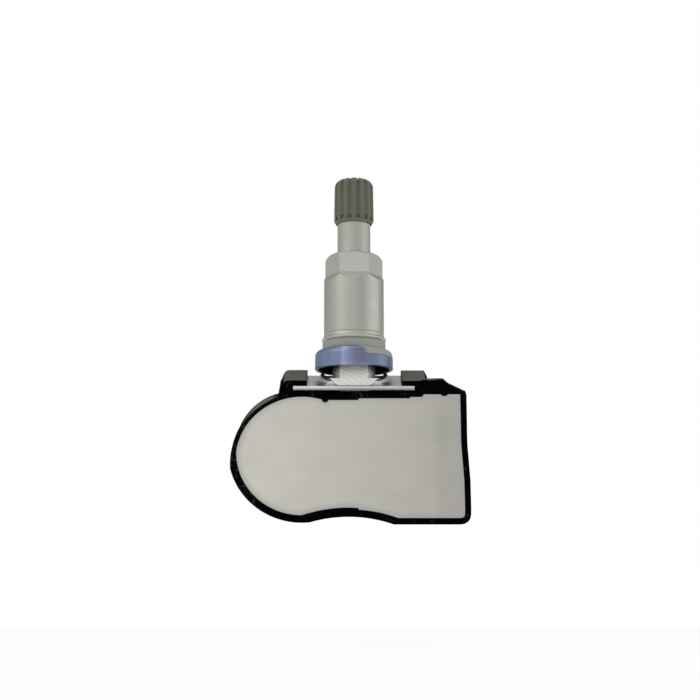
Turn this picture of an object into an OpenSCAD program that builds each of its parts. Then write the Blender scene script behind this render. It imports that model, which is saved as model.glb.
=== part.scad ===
// Clamp-in tyre valve with a tilting pressure sensor.
// Z is the valve axis and points to the cap. Zero is the plane where the rubber
// grommet sits on its metal seat ring. -Y is the side of the potted face.
// The sensor's own pieces are drawn in its local frame, with the centre of the
// ball joint as its zero, and are then tilted about X by sensor_tilt.

/* [Valve stem] */
// Diameter of the plain shank between nut and cap
shank_d = 7.4; // [6.9:0.05:7.45]
// Outer diameter of the cap thread
cap_thread_d = 7.6; // [7.5:0.05:7.7]
// Outer diameter of the collar nut thread
nut_thread_d = 8.6; // [8.2:0.1:9.2]
// Height of the thread of the collar nut
nut_thread_z = 20; // [17:0.5:20.8]
// Diameter of the round neck below the seat ring
neck_d = 9.4; // [9:0.1:10.4]
// Distance across the two milled flats of the foot
foot_flats = 7; // [6:0.25:8]
// Radius of the ball at the foot
ball_r = 7.3; // [7:0.1:7.4]
// Depth of the ball's centre below the seat ring
ball_drop = 0.9; // [0.6:0.1:1.2]
// Depth of the foot's shoulder below the ball centre
shoulder_drop = 3.7; // [3.4:0.1:4]
// Depth of the foot's flat end below the ball centre
foot_drop = 5.6; // [5.2:0.1:5.7]
// Diameter of the air bore
air_d = 3.2; // [2.6:0.1:3.4]
// Diameter of the air outlet at the back of the neck
outlet_d = 1.6; // [1:0.1:1.8]

// Depth of the collar nut thread, below which this solid is turned down
nut_thread_deep = 0.55; // [0.3:0.05:0.6]
// Depth of the cap thread, below which this solid is turned down
cap_thread_deep = 0.42; // [0.3:0.02:0.46]

/* [Seat ring] */
// Outer diameter of the seat ring
ring_d = 17.3; // [17:0.1:18]
// Thickness of the ring's skirt
ring_wall = 0.65; // [0.5:0.05:0.7]
// Thickness of the ring's web under the grommet
ring_web = 0.5; // [0.4:0.1:0.8]
// Depth of the skirt below the grommet
ring_skirt = 2.4; // [1.8:0.1:2.4]
// Height of the lip over the grommet
ring_lip = 2; // [1.9:0.1:2.4]
// Width of each of the two notches at the lip, at their foot
notch_w = 10.5; // [9:0.1:11]
// Direction of the first notch, from the front towards the right
notch_dir = 57; // [48:1:64]

/* [Grommet] */
// Height of the flange before its round shoulder starts
flange_h = 0.7; // [0.6:0.1:1.2]
// Diameter of the collar that bears on the wheel
collar_d = 14; // [13.6:0.1:14.2]
// Height of the face that bears on the wheel
seat_z = 3.9; // [3.6:0.1:4.4]
// Diameter of the neck inside the 11.5 mm rim hole
rim_neck_d = 11.4; // [11:0.1:11.5]
// Length of the neck above the bearing face
rim_neck_h = 4.1; // [3.4:0.1:4.6]

/* [Collar nut] */
// Diameter of the nut's round body
nut_d = 13.35; // [13.2:0.05:14]
// Length of the round body
nut_round_h = 12.9; // [12:0.1:13.6]
// Length of the hexagon
hex_h = 5.4; // [5:0.1:6.6]
// Size across the hexagon's flats
hex_af = 11.1; // [11:0.1:11.5]
// Radius of the rounded top of the nut
nut_dome_r = 2.6; // [2.2:0.1:2.8]
// Diameter of the captive washer
washer_d = 14.3; // [13.9:0.1:14.6]
// Height of the captive washer
washer_h = 1.7; // [1.4:0.1:2.4]

/* [Cap] */
// Height of the cap
cap_h = 10.4; // [10:0.1:12]
// Gap between the top of the nut and the cap
cap_gap = 6.9; // [6.2:0.1:8]
// Outer diameter over the ribs at the open end
cap_d = 9.05; // [8.8:0.05:9.4]
// Outer diameter over the ribs below the dome
cap_top_d = 8.75; // [8.6:0.05:9.2]
// Depth of the grooves between the ribs
rib_depth = 0.22; // [0.1:0.01:0.24]
// Number of ribs
ribs = 14; // [10:1:18]
// Width of the small pockets at the foot of the grooves
pocket_w = 0.8; // [0.5:0.05:1]
// Height of the pockets
pocket_h = 0.9; // [0.5:0.05:1.2]
// Depth of the pockets under the ribs
pocket_deep = 0.45; // [0.3:0.05:0.5]
// Thickness of the cap's roof
cap_roof = 1.6; // [1.4:0.1:2]
// Thickness of the sealing disc inside the cap
cap_seal_h = 0.9; // [0.6:0.1:1.2]

/* [Valve core] */
// Diameter of the core's screw plug
plug_d = 5.2; // [5:0.05:5.3]
// Length of the threaded part of the plug
plug_h = 4; // [3:0.5:4.5]
// Depth of the plug's thread below the stem's mouth
plug_depth = 3; // [2.4:0.1:3.4]
// Diameter of the core's barrel
barrel_d = 3.7; // [3.5:0.05:3.8]
// Length of the barrel
barrel_h = 8.5; // [7:0.5:9]
// Diameter of the valve pin
pin_d = 1; // [0.9:0.05:1.1]
// Stroke of the valve pin
pin_stroke = 1.5; // [1:0.1:1.5]
// Wire diameter of the pin's spring
spring_wire = 0.32; // [0.25:0.01:0.35]
// Number of turns of the spring
spring_turns = 6; // [4:1:7]

/* [Bracket] */
// Tilt of the sensor against the valve
sensor_tilt = 24; // [4:1:25]
// Thickness of the bracket's sheet
sheet = 1; // [0.8:0.05:1]
// Length of the bracket
bracket_w = 26.6; // [24.6:0.1:27]
// Distance from the ball centre to the front edge
bracket_front = 6.4; // [6.2:0.05:6.6]
// Distance from the ball centre to the back edge
bracket_back = 2.5; // [1.8:0.1:2.6]
// Depth of the bracket's upper face below the ball centre
bracket_drop = 3.35; // [3.2:0.05:3.6]
// Height of the raised cheeks beside the ball
cheek_h = 0.85; // [0.5:0.05:0.95]
// Diameter over the tops of the cheeks
cheek_d = 15; // [14.6:0.1:15]
// Distance from the ball centre to the back of the cheeks
cheek_back = 1.6; // [1:0.1:1.6]
// Length of the bowl behind the ball centre
bowl_back = 4.2; // [2.4:0.1:4.2]
// Thickness of the bowl's front wall
bowl_wall = 0.75; // [0.6:0.05:0.8]
// Running clearance of the ball in its bowl
ball_gap = 0.05; // [0.02:0.01:0.08]
// Diameter of the screw that holds the foot
screw_d = 2.5; // [2.3:0.05:2.6]
// Diameter of the screw's head
screw_head_d = 4.5; // [4.2:0.1:4.6]
// Height of the screw's head
screw_head_h = 1.4; // [1.2:0.1:1.5]

/* [Housing] */
// Distance from the ball centre to the rim's front face
front = 8; // [7.9:0.1:8.6]
// Depth of the rim before the back shells start
rim_depth = 2; // [1.6:0.1:2.4]
// Thickness of the rim's floor round the back shells
rim_floor = 0.8; // [0.6:0.1:1.2]
// Depth of the potted face below the rim
pot_recess = 0.2; // [0.1:0.05:0.3]
// Thickness of the moulded walls
wall = 1.4; // [1.2:0.1:1.6]
// Radius of the lower arc of the battery end
lobe_low_r = 16.1; // [16:0.1:16.6]
// Radius of the upper arc of the battery end
lobe_up_r = 16.75; // [16.6:0.05:17.2]
// Radius of the waist under the middle
waist_r = 29; // [27:0.5:31]
// Right edge of the housing at its foot
right_x = 26.05; // [25.8:0.05:27]
// Right edge of the housing at its shoulder
shoulder_x = 24.5; // [24.4:0.05:25.2]
// Lower edge of the housing
foot_z = -34.85; // [-36:0.05:-34.6]
// Width of the rim round the battery end
rim_w = 1.75; // [1.4:0.05:1.9]
// Width of the rim on the right
rim_right_w = 1.35; // [1.1:0.05:1.6]
// Distance between the two hooks
hook_gap = 20.95; // [18:0.05:21]
// Width of the left hook
hook_left_w = 5.95; // [5.4:0.05:6.4]
// Width of the right hook
hook_right_w = 5.6; // [5.2:0.05:6]
// Thickness of the hooks above the bracket
hook_h = 1.2; // [1:0.05:1.3]
// Length of the hooks from front to back
hook_len = 8.9; // [8.2:0.1:9.2]

/* [Electronics] */
// Diameter of the coin cell
battery_d = 23; // [22:0.1:23.5]
// Thickness of the coin cell
battery_h = 5; // [4.2:0.1:5]
// Thickness of the circuit board
board_t = 1; // [0.8:0.1:1.2]
// Side of the sensor chip
chip_w = 6.4; // [5:0.1:7]
// Height of the sensor chip
chip_h = 2; // [1.6:0.1:2.2]
// Diameter of the pressure port
port_d = 1.4; // [1:0.1:1.8]

/* [Hidden] */
$fn = 72;
fit = 0.05;
tiny = 0.01;

washer_z = seat_z;
nut_z = washer_z + washer_h;
seat_gap = 0.02;
lip_in = ring_lip - flange_h + 0.05 - ring_wall;
lip_c = [ring_d/2 - ring_wall - lip_in, flange_h - 0.05];
bulge_r = ring_d/2 - 0.1;
hex_z = nut_z + nut_round_h;
nut_top = hex_z + hex_h;
cap_z = nut_top + cap_gap;
cap_top = cap_z + cap_h;
mouth_z = cap_top - cap_roof - cap_seal_h;
ball_z = -ball_drop;
thread_z0 = seat_z + rim_neck_h;
nut_root = nut_thread_d/2 - nut_thread_deep;
cap_root = cap_thread_d/2 - cap_thread_deep;
plug_top = mouth_z - plug_depth;
plug_z = plug_top - plug_h;
barrel_z = plug_z - barrel_h;
bore_r = barrel_d/2 + 0.25;
seat_cone_h = 1.8;
chamber_r = barrel_d/2 - 0.4;
chamber_z = barrel_z + 1;
pin_collar_h = 0.6;
pin_collar_z = plug_z - 0.5 - pin_collar_h;
cup_h = 1.2;
bowl_r = ball_r + ball_gap;
bowl_out = bowl_r + sheet;
plate_top = -bracket_drop;
deck_z = plate_top - sheet;
slot_r = screw_d/2 + 0.15;
slot_a0 = 0;
slot_a1 = 27;
head_z = sqrt(bowl_out*bowl_out - slot_r*slot_r) + 0.08;
head_end = head_z + screw_head_h;
rim_back = -front + rim_depth;
pot_y = -front + pot_recess;
floor_y = rim_back - rim_floor;
lobe_low = [-11.6, foot_z + lobe_low_r + 0.4];
lobe_up = [-10.6, -21];
waist = [-1.2, -33.05 - waist_r];
cell_c = [-13.4, deck_z - 3.3 - battery_d/2];
board_x = cell_c[0] + battery_d/2 + 1.55;
tab_x0 = cell_c[0] - 2.6;
tab_x1 = board_x + 1.6;
tab_w = 3;
cell_y = rim_back + 0.1;
tab_t = 0.2;
cell_back = cell_y + battery_h;
cell_floor = cell_back + tab_t;
board_y = -3.2;
board_back = board_y + board_t;
chip_c = [12.5, -20];
chip_back = board_back + chip_h;
seal_h = 1.6;
box_floor = chip_back + seal_h;
box_back = box_floor + wall;
hook_y = -bracket_front;
deck_back = hook_y + hook_len;

function arc(c, r, a0, a1, n) = [for (i = [0:n]) let (a = a0 + (a1 - a0)*i/n)
    [c[0] + r*cos(a), c[1] + r*sin(a)]];

// Placing helpers
module in_sensor() { translate([0, 0, ball_z]) rotate([sensor_tilt, 0, 0]) children(); }
module slab(y0, y1) { translate([0, y1, 0]) rotate([90, 0, 0]) linear_extrude(y1 - y0) children(); }
module rod_y(x, z, d, y0, y1) { translate([x, y1, z]) rotate([90, 0, 0]) cylinder(h = y1 - y0, d = d); }
module box(a, b) { translate(a) cube([b[0] - a[0], b[1] - a[1], b[2] - a[2]]); }

// Ribbed plastic dust cap
module valve_cap() {
    color("#5f604d") difference() {
        intersection() {
            translate([0, 0, cap_z]) rotate_extrude() cap_outline(0);
            union() {
                translate([0, 0, cap_z]) rotate_extrude() cap_outline(rib_depth);
                for (i = [0:ribs - 1]) rotate(360/ribs*(i + 0.5))
                    translate([cap_d/2 - 0.72, 0, cap_z + 0.8]) cylinder(h = cap_h, r = 0.72, $fn = 24);
            }
        }
        translate([0, 0, cap_z - tiny])
            cylinder(h = mouth_z + cap_seal_h - cap_z + tiny, d = cap_thread_d + 2*fit);
        translate([0, 0, cap_z - tiny]) cylinder(h = 0.4, d1 = cap_thread_d + 0.5, d2 = cap_thread_d + 2*fit);
        for (i = [0:ribs - 1]) rotate(360/ribs*i) translate([cap_d/2 - pocket_deep, -pocket_w/2, cap_z + 0.6])
            cube([1, pocket_w, pocket_h]);
    }
}
module cap_outline(inset) {
    d0 = cap_d/2 - inset;
    d1 = cap_top_d/2 - inset;
    edge = 1.9;
    polygon(concat([[0, 0], [d0 - 0.35, 0], [d0, 0.6]],
        arc([d1 - edge, cap_h - edge - inset], edge, 0, 75, 7), [[0, cap_h - inset]]));
}

// Rubber disc that seals the stem's mouth
module cap_seal() {
    color("#26282a") translate([0, 0, mouth_z])
        cylinder(h = cap_seal_h, d = cap_thread_d - 0.2);
}

// One-piece stem: cap thread, shank, nut thread, neck and ball foot
module valve_stem() {
    color("#a9aaa2") difference() {
        union() {
            rotate_extrude() polygon([[0, -ring_web], [nut_thread_d/2, -ring_web],
                [nut_thread_d/2, thread_z0], [nut_root, thread_z0 + 0.5],
                [nut_root, nut_thread_z - 0.4], [shank_d/2, nut_thread_z],
                [shank_d/2, cap_z + 0.1], [cap_root, cap_z + 0.5], [cap_root, mouth_z], [0, mouth_z]]);
            intersection() {
                translate([0, 0, ball_z]) rotate_extrude() polygon(concat(
                    [[0, -foot_drop]],
                    arc([0, 0], ball_r, -asin(foot_drop/ball_r), -asin(shoulder_drop/ball_r), 8),
                    [[neck_d/2, -shoulder_drop], [neck_d/2, -ring_web - ball_z], [0, -ring_web - ball_z]]));
                union() {
                    box([-9, -foot_flats/2, -9], [9, foot_flats/2, -ring_web]);
                    translate([0, 0, -ring_web - 0.5]) cylinder(h = 0.5, d = neck_d);
                }
            }
        }
        translate([0, 0, -ring_web - 1.9]) cylinder(h = mouth_z + 9, d = air_d);
        translate([0, 0, barrel_z - cup_h - pin_stroke - 0.5]) cylinder(h = mouth_z, r = bore_r);
        translate([0, 0, plug_z - seat_cone_h])
            cylinder(h = seat_cone_h, r1 = bore_r, r2 = plug_d/2 + fit);
        translate([0, 0, plug_z - tiny]) cylinder(h = mouth_z, r = plug_d/2 + fit);
        translate([0, 0, -ring_web - 1.4]) rotate([-90, 0, 0]) cylinder(h = 9, d = outlet_d);
        translate([0, 0, ball_z - foot_drop - tiny]) cylinder(h = 3.2, d = screw_d);
    }
}

// Collar nut with six flats and a domed end
module collar_nut() {
    color("#a5a69f") difference() {
        translate([0, 0, nut_z]) rotate_extrude() polygon(concat([[0, 0], [nut_d/2 - 0.15, 0], [nut_d/2, 0.15]],
            arc([nut_d/2 - nut_dome_r, nut_top - nut_z - nut_dome_r], nut_dome_r, 0, 87, 9),
            [[0, nut_top - nut_z]]));
        for (i = [0:5]) rotate(60*i) translate([0, 0, hex_z]) flat_cut();
        translate([0, 0, nut_z - tiny]) cylinder(h = rim_neck_h - washer_h + 0.2, d = rim_neck_d + 0.4);
        translate([0, 0, nut_z]) cylinder(h = nut_thread_z + 0.4 - nut_z, d = nut_thread_d + 2*fit);
        translate([0, 0, nut_z]) cylinder(h = nut_top, d = cap_thread_d + 0.2);
    }
}
module flat_cut() {
    run = (nut_d - hex_af)/2 + 0.25;
    translate([-6, 0, 0]) rotate([90, 0, 90]) linear_extrude(12)
        polygon([[-hex_af/2, 0], [-hex_af/2 - run, -run], [-nut_d, -run], [-nut_d, 20], [-hex_af/2, 20]]);
}

// Captive washer under the nut, with its small slit
module nut_washer() {
    color("#b2b3ab") translate([0, 0, washer_z]) difference() {
        rotate_extrude() polygon([[rim_neck_d/2 + 0.1, 0], [washer_d/2 - 0.3, 0], [washer_d/2, 0.3],
            [washer_d/2, 0.55], [nut_d/2 + 0.05, washer_h - 0.7], [nut_d/2 - 0.05, washer_h],
            [rim_neck_d/2 + 0.1, washer_h]]);
        rotate(44) translate([-0.25, -washer_d/2 - 1, washer_h - 1]) cube([0.5, 1.45, washer_h]);
    }
}

// Rubber grommet: flange, round shoulder, collar and rim-hole neck
module grommet() {
    color("#8d9087") difference() {
        union() {
            rotate_extrude() polygon(concat([[0, 0], [lip_c[0] + lip_in - seat_gap, 0]],
                arc(lip_c, lip_in - seat_gap, 0, 90, 6),
                [[collar_d/2, lip_c[1] + lip_in], [collar_d/2, seat_z - 0.2], [collar_d/2 - 0.2, seat_z],
                 [rim_neck_d/2, seat_z], [rim_neck_d/2, seat_z + rim_neck_h - 0.3],
                 [rim_neck_d/2 - 0.3, seat_z + rim_neck_h], [0, seat_z + rim_neck_h]]));
            intersection() {
                rotate_extrude() polygon(concat([[5, 0], [bulge_r, 0]],
                    arc(lip_c, bulge_r - lip_c[0], 0, 90, 6), [[5, lip_c[1] + bulge_r - lip_c[0]]]));
                lip_notches(0.03);
            }
        }
        translate([0, 0, -1]) cylinder(h = 30, d = nut_thread_d);
    }
}

// Pressed seat ring with two notches in its lip
module seat_ring() {
    ro = ring_d/2;
    ri = ro - ring_wall;
    bend = lip_in + ring_wall;
    color("#7482a2") difference() {
        rotate_extrude() polygon(concat(
            [[nut_thread_d/2, 0], [nut_thread_d/2, -ring_web], [ri - 0.1, -ring_web], [ri - 0.1, -ring_skirt + 0.15],
             [ri + 0.05, -ring_skirt], [ro - 0.15, -ring_skirt], [ro, -ring_skirt + 0.15]],
            arc(lip_c, bend, 0, 68, 6), arc(lip_c, lip_in, 68, 0, 6), [[ri, 0]]));
        lip_notches(0);
    }
}
module lip_notches(gap) {
    for (s = [0, 180]) rotate(notch_dir + s) translate([0, -4.2, 0.15 + gap]) rotate([90, 0, 0]) linear_extrude(7)
        polygon([[gap - notch_w/2, 0], [notch_w/2 - gap, 0], [notch_w/2 - gap + 1.6, 4], [gap - notch_w/2 - 1.6, 4]]);
}

// Valve core: plug, barrel, gasket, pin with cup seal, and spring
module core_plug() {
    color("#c9a94e") difference() {
        union() {
            translate([0, 0, plug_z]) cylinder(h = plug_h, d = plug_d);
            intersection() {
                translate([0, 0, plug_top - tiny]) cylinder(h = 2, d = plug_d - 1.4);
                box([-1.1, -3, plug_top - tiny], [1.1, 3, plug_top + 2]);
            }
        }
        translate([0, 0, plug_z - 1]) cylinder(h = plug_h + 9, d = pin_d + 0.2);
        translate([0, 0, plug_top + 0.4]) cylinder(h = 9, d = pin_d + 0.8);
        for (s = [-1, 1]) translate([s*1.6, 0, plug_z - 1]) cylinder(h = plug_h + 2, d = 0.8);
    }
}
module core_barrel() {
    color("#c2a552") translate([0, 0, barrel_z]) difference() {
        cylinder(h = barrel_h, d = barrel_d);
        translate([0, 0, chamber_z - barrel_z]) cylinder(h = barrel_h, r = chamber_r);
        translate([0, 0, -1]) cylinder(h = barrel_h, d = pin_d + 0.2);
        translate([0, 0, chamber_z - barrel_z + 1.2]) rotate([90, 0, 0]) cylinder(h = 9, d = 0.9, center = true);
    }
}
module core_gasket() {
    g0 = 0.3;
    g1 = seat_cone_h - 0.2;
    wide = plug_d/2 + fit - bore_r;
    color("#b5443a") translate([0, 0, plug_z - seat_cone_h]) rotate_extrude() polygon([
        [barrel_d/2, g0], [bore_r + wide*g0/seat_cone_h - 0.02, g0],
        [bore_r + wide*g1/seat_cone_h - 0.02, g1], [barrel_d/2, g1]]);
}
module core_pin() {
    low = barrel_z - cup_h;
    color("#cdb56a") rotate_extrude() polygon([[0, low], [pin_d/2, low], [pin_d/2, pin_collar_z],
        [chamber_r - 0.12, pin_collar_z], [chamber_r - 0.12, pin_collar_z + pin_collar_h],
        [pin_d/2, pin_collar_z + pin_collar_h], [pin_d/2, mouth_z - 0.5], [pin_d/2 + 0.25, mouth_z - 0.45],
        [pin_d/2 + 0.25, mouth_z - 0.2], [0, mouth_z - 0.1]]);
}
module core_cup() {
    color("#2d2c2b") translate([0, 0, barrel_z - cup_h]) rotate_extrude() polygon([[pin_d/2, 0],
        [barrel_d/2 - 0.25, 0], [barrel_d/2, 0.4], [barrel_d/2 - 0.1, cup_h], [pin_d/2, cup_h]]);
}
module core_spring() {
    n = 6;
    per = 12;
    span = pin_collar_z - chamber_z - spring_wire;
    steps = per*spring_turns;
    rc = chamber_r - 0.06 - spring_wire/2;
    pts = [for (i = [0:steps], k = [0:n - 1]) let (a = 360*i/per, b = 360*k/n, r = rc + spring_wire/2*cos(b))
        [r*cos(a), r*sin(a), chamber_z + spring_wire/2 + span*i/steps + spring_wire/2*sin(b)]];
    sides = [for (i = [0:steps - 1], k = [0:n - 1]) let (j = (k + 1) % n)
        [n*i + k, n*(i + 1) + k, n*(i + 1) + j, n*i + j]];
    color("#9c9c98") polyhedron(pts, concat([[for (k = [0:n - 1]) k]], sides,
        [[for (k = [n - 1:-1:0]) n*steps + k]]), convexity = 10);
}

// Screw that draws the ball foot into its bowl
module foot_screw() {
    color("#8f918e") translate([0, 0, ball_z]) difference() {
        union() {
            translate([0, 0, -head_z - tiny]) cylinder(h = head_z - foot_drop + 3, d = screw_d - 0.02);
            translate([0, 0, -head_end + 0.3]) cylinder(h = screw_head_h - 0.3, d = screw_head_d);
            translate([0, 0, -head_end]) cylinder(h = 0.3, d1 = screw_head_d - 0.6, d2 = screw_head_d);
        }
        translate([0, 0, -head_end - 0.5]) cylinder(h = 1.2, d = 2, $fn = 6);
    }
}

// Pressed steel bracket: strip, bowl for the ball and two raised cheeks
module bracket() {
    color("#b4b9ba") in_sensor() difference() {
        union() {
            box([-bracket_w/2, -bracket_front, plate_top - sheet], [bracket_w/2, bracket_back, plate_top]);
            intersection() {
                rotate_extrude() polygon(concat([[0, plate_top - sheet/2]],
                    arc([0, 0], bowl_out, -90, -asin((bracket_drop + sheet/2)/bowl_out), 12)));
                box([-12, -bracket_front, -12], [12, bowl_back, 0]);
            }
            intersection() {
                rotate_extrude() cheek_outline();
                box([-12, -bracket_front + 1.2, plate_top - 0.1], [12, cheek_back, plate_top + 3]);
            }
        }
        intersection() {
            rotate_extrude() polygon(concat([[0, 0]], arc([0, 0], bowl_r, -90, 0, 18)));
            box([-12, -bracket_front + bowl_wall, -12], [12, 12, 1]);
        }
        for (a = [slot_a0, slot_a1]) rotate([-a, 0, 0]) translate([0, 0, -bowl_out - 1])
            cylinder(h = 3, r = slot_r, $fn = 36);
        translate([-slot_r, 0, 0]) rotate([90, 0, 90]) linear_extrude(2*slot_r)
            polygon(concat(arc([0, 0], bowl_out + 1, -90 - slot_a1, -90 - slot_a0, 3),
                arc([0, 0], bowl_out - 2, -90 - slot_a0, -90 - slot_a1, 3)));
    }
}
module cheek_outline() {
    top = plate_top + cheek_h;
    flare = 1.4;
    h = cheek_h - 0.15;
    polygon(concat([[bowl_r - 2, plate_top - 0.05], [bowl_r - 2, top], [cheek_d/2 - 0.2, top]],
        [for (a = [0:15:90]) [cheek_d/2 + flare*(1 - cos(a)), plate_top + h*(1 - sin(a))]],
        [[cheek_d/2 + flare, plate_top - 0.05]]));
}

// Moulded housing: rim, battery shell, board shell, deck and hooks
module housing() {
    color("#0e0e0f") in_sensor() difference() {
        union() {
            difference() {
                union() {
                    slab(-front, rim_back) rim_outline();
                    battery_shell(0, rim_back - tiny);
                    board_shell(0, rim_back - tiny);
                    box([-hook_gap/2 - hook_left_w, -front + 0.6, deck_z - 6.5],
                        [hook_gap/2 + hook_right_w, deck_back, deck_z]);
                    hooks();
                    shoulder();
                    port_collar();
                }
                slab(-front - 1, floor_y) pot_outline();
                intersection() {
                    slab(floor_y - tiny, 20) pot_outline();
                    union() {
                        battery_shell(wall, floor_y - tiny);
                        board_shell(wall, floor_y - tiny);
                    }
                }
            }
            intersection() {
                pocket_walls();
                box([-12, -front, -12], [12, deck_back, deck_z]);
            }
        }
        bracket_pocket();
        rod_y(chip_c[0], chip_c[1], port_d, box_floor - 1, box_back + 2);
        rod_y(chip_c[0], chip_c[1], port_d + 1.4, box_back - 0.7, box_back + 2);
    }
}
module lobe(inset) {
    intersection() {
        translate(lobe_low) circle(r = lobe_low_r - inset, $fn = 120);
        translate(lobe_up) circle(r = lobe_up_r - inset, $fn = 120);
    }
}
module rim_outline() {
    c = 2.2;
    difference() {
        union() {
            lobe(0);
            polygon(concat([[-8.5, foot_z]], arc([right_x - c, foot_z + c], c, -90, 0, 4),
                [[right_x, -31], [right_x - 0.3, -24.5], [shoulder_x + 0.4, -16]],
                arc([shoulder_x - 0.6, deck_z - 0.6], 0.6, 0, 90, 3), [[-12, deck_z]]));
        }
        translate(waist) circle(r = waist_r, $fn = 160);
        translate([-16.2, deck_z]) square([40, 8]);
    }
}
module pot_outline() {
    r = rim_right_w;
    difference() {
        union() {
            intersection() {
                translate(lobe_low) circle(r = lobe_low_r - rim_w, $fn = 120);
                translate(lobe_up + [-0.7, 0.9]) circle(r = lobe_up_r - rim_w - 0.2, $fn = 120);
                translate([-40, -40]) square([34.5, 40]);
            }
            polygon(concat([[-8.5, foot_z + 1.5]], arc([right_x - r - 0.9, foot_z + 2.4], 0.9, -90, 0, 3),
                [[right_x - r, -31], [right_x - r - 0.3, -24.5], [shoulder_x + 0.4 - r, -16],
                 [shoulder_x - r, -4.75], [20.4, -4.75], [20.1, -5.15], [19.2, -5.15], [18.9, -4.75],
                 [15.2, -4.75], [14.8, -5.35], [12.4, -5.35], [12, -5.65], [1.2, -5.65],
                 [0.8, -6.05], [-6.1, -6.05], [-6.1, -20]]));
        }
        translate(waist) circle(r = waist_r + rim_w, $fn = 160);
        intersection() {
            translate(waist) circle(r = waist_r + rim_w + 0.4, $fn = 160);
            translate([-12, -40]) square([13, 20]);
        }
        translate([-6.3, -5.9]) circle(r = 0.7, $fn = 24);
    }
}
module battery_shell(inset, y0) {
    r = battery_d/2 + 1.6 - inset;
    edge = 1.8 - inset/2;
    back = cell_floor + wall - inset;
    translate([cell_c[0], 0, cell_c[1]]) rotate([-90, 0, 0]) rotate_extrude() polygon(concat(
        [[0, y0], [r, y0]], arc([r - edge, back - edge], edge, 0, 90, 6), [[0, back]]));
}
module board_shell(inset, y0) {
    back = box_back - inset;
    low = foot_z + 1.4 + inset;
    high = -6.1 - inset;
    left = board_x - 3.9 + inset;
    right = shoulder_x - 0.25 - inset;
    e = 1.4 - inset/2;
    intersection() {
        box([left, y0, foot_z], [right, back, -5]);
        translate([left, 0, 0]) rotate([90, 0, 90]) linear_extrude(right - left) polygon([
            [y0, low], [back - e, low + 0.5], [back, low + 0.5 + e],
            [back, high - 0.5 - e], [back - e, high - 0.5], [y0, high]]);
        translate([0, 0, -40]) linear_extrude(40) polygon([[left, y0], [right, y0],
            [right - 0.5, back - e], [right - 0.5 - e, back], [left, back]]);
        translate([0, -10, 0]) rotate([-90, 0, 0]) linear_extrude(30) mirror([0, 1]) difference() {
            translate([left, foot_z]) square([right - left, -5 - foot_z]);
            translate(waist) circle(r = waist_r + 1.2 + inset, $fn = 160);
            translate([-20, -8.5 - inset]) square([23.5 + inset, 10]);
        }
    }
}
module hooks() {
    top = plate_top + hook_h;
    xl = -hook_gap/2 - hook_left_w;
    xr = hook_gap/2 + hook_right_w;
    slab(hook_y, deck_back) difference() {
        union() {
            polygon([[-hook_gap/2, deck_z - 1], [-hook_gap/2 + 0.15, top - 0.05], [-hook_gap/2 - 0.15, top + 0.1],
                [xl + 2, top + 0.1], [xl + 1.35, top - 0.05], [xl + 0.95, top - 0.4], [xl + 0.65, top - 0.95],
                [xl + 0.4, top - 1.6], [xl + 0.1, top - 2.3], [xl, deck_z - 1]]);
            polygon([[hook_gap/2, deck_z - 1], [hook_gap/2, top - 0.15], [hook_gap/2 + 0.15, top],
                [xr - 0.45, top], [xr + 0.3, top - 1.4], [xr + 0.3, deck_z - 1]]);
        }
        translate([-bracket_w/2, deck_z]) square([bracket_w, sheet]);
    }
}
module shoulder() {
    x0 = hook_gap/2 + hook_right_w;
    top = plate_top + 1.77;
    slab(-front, -front + 1.6) polygon([[x0 - 2.2, -8], [x0 - 2.2, deck_z - 0.1], [x0 - 0.4, deck_z - 0.1],
        [x0 - 0.1, top], [x0 + 3.3, top], [x0 + 4.4, top - 1], [x0 + 5.6, top - 1.6], [x0 + 7.5, top - 2.5],
        [shoulder_x - 0.5, top - 3.1], [shoulder_x - 0.1, top - 3.9], [shoulder_x, -8]]);
    translate([x0 - 1.2, 0, 0]) rotate([90, 0, 90]) linear_extrude(1.3) polygon([[-front + 0.4, -8],
        [-front + 0.4, top], [-front + 1.6, top], [deck_back - 2, deck_z - 1.5], [deck_back - 2, -8]]);
}
module port_collar() {
    rod_y(chip_c[0], chip_c[1], port_d + 3.4, box_back - 0.2, box_back + 0.35);
}
module bracket_pocket() {
    g = 0.4;
    stop = -front + 1.15;
    intersection() {
        sphere(r = bowl_out + g);
        box([-12, stop, -12], [12, 12, deck_z + 3]);
    }
    rotate([-90, 0, 0]) cylinder(h = 20, r = bowl_out + g);
    box([-screw_head_d/2 - 0.5, stop, -head_end - 0.5], [screw_head_d/2 + 0.5, 20, deck_z + 3]);
}

// Potting compound that fills the housing behind the face
module potting() {
    color("#bdbbb0") in_sensor() difference() {
        union() {
            slab(pot_y, floor_y) pot_outline();
            intersection() {
                slab(floor_y - tiny, board_y) pot_outline();
                union() {
                    battery_shell(wall, floor_y - tiny);
                    board_shell(wall, floor_y - tiny);
                }
            }
        }
        pocket_walls();
        rod_y(cell_c[0], cell_c[1], battery_d + 2*seat_gap, cell_y, 9);
        box([tab_x0, cell_y - tab_t, cell_c[1] + 0.1], [tab_x1, cell_y, cell_c[1] + 0.1 + tab_w]);
        box([tab_x1 - 2, cell_y - tab_t, cell_c[1] + 0.1], [tab_x1, 0, cell_c[1] + 0.1 + tab_w]);
        box([6, board_y - 2.4, -14.2], [14, board_y + 1, -11]);
        box([21.2, board_y - 1.9, -29.2], [22.5, board_y + 1, -11.8]);
        for (i = [0:5]) box([5 + 2.4*i, board_y - 0.8, -26.9], [6.4 + 2.4*i, board_y + 1, -24.6]);
        box([4.6, board_y - 0.9, -30.6], [8.2, board_y + 1, -28.4]);
    }
}
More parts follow.
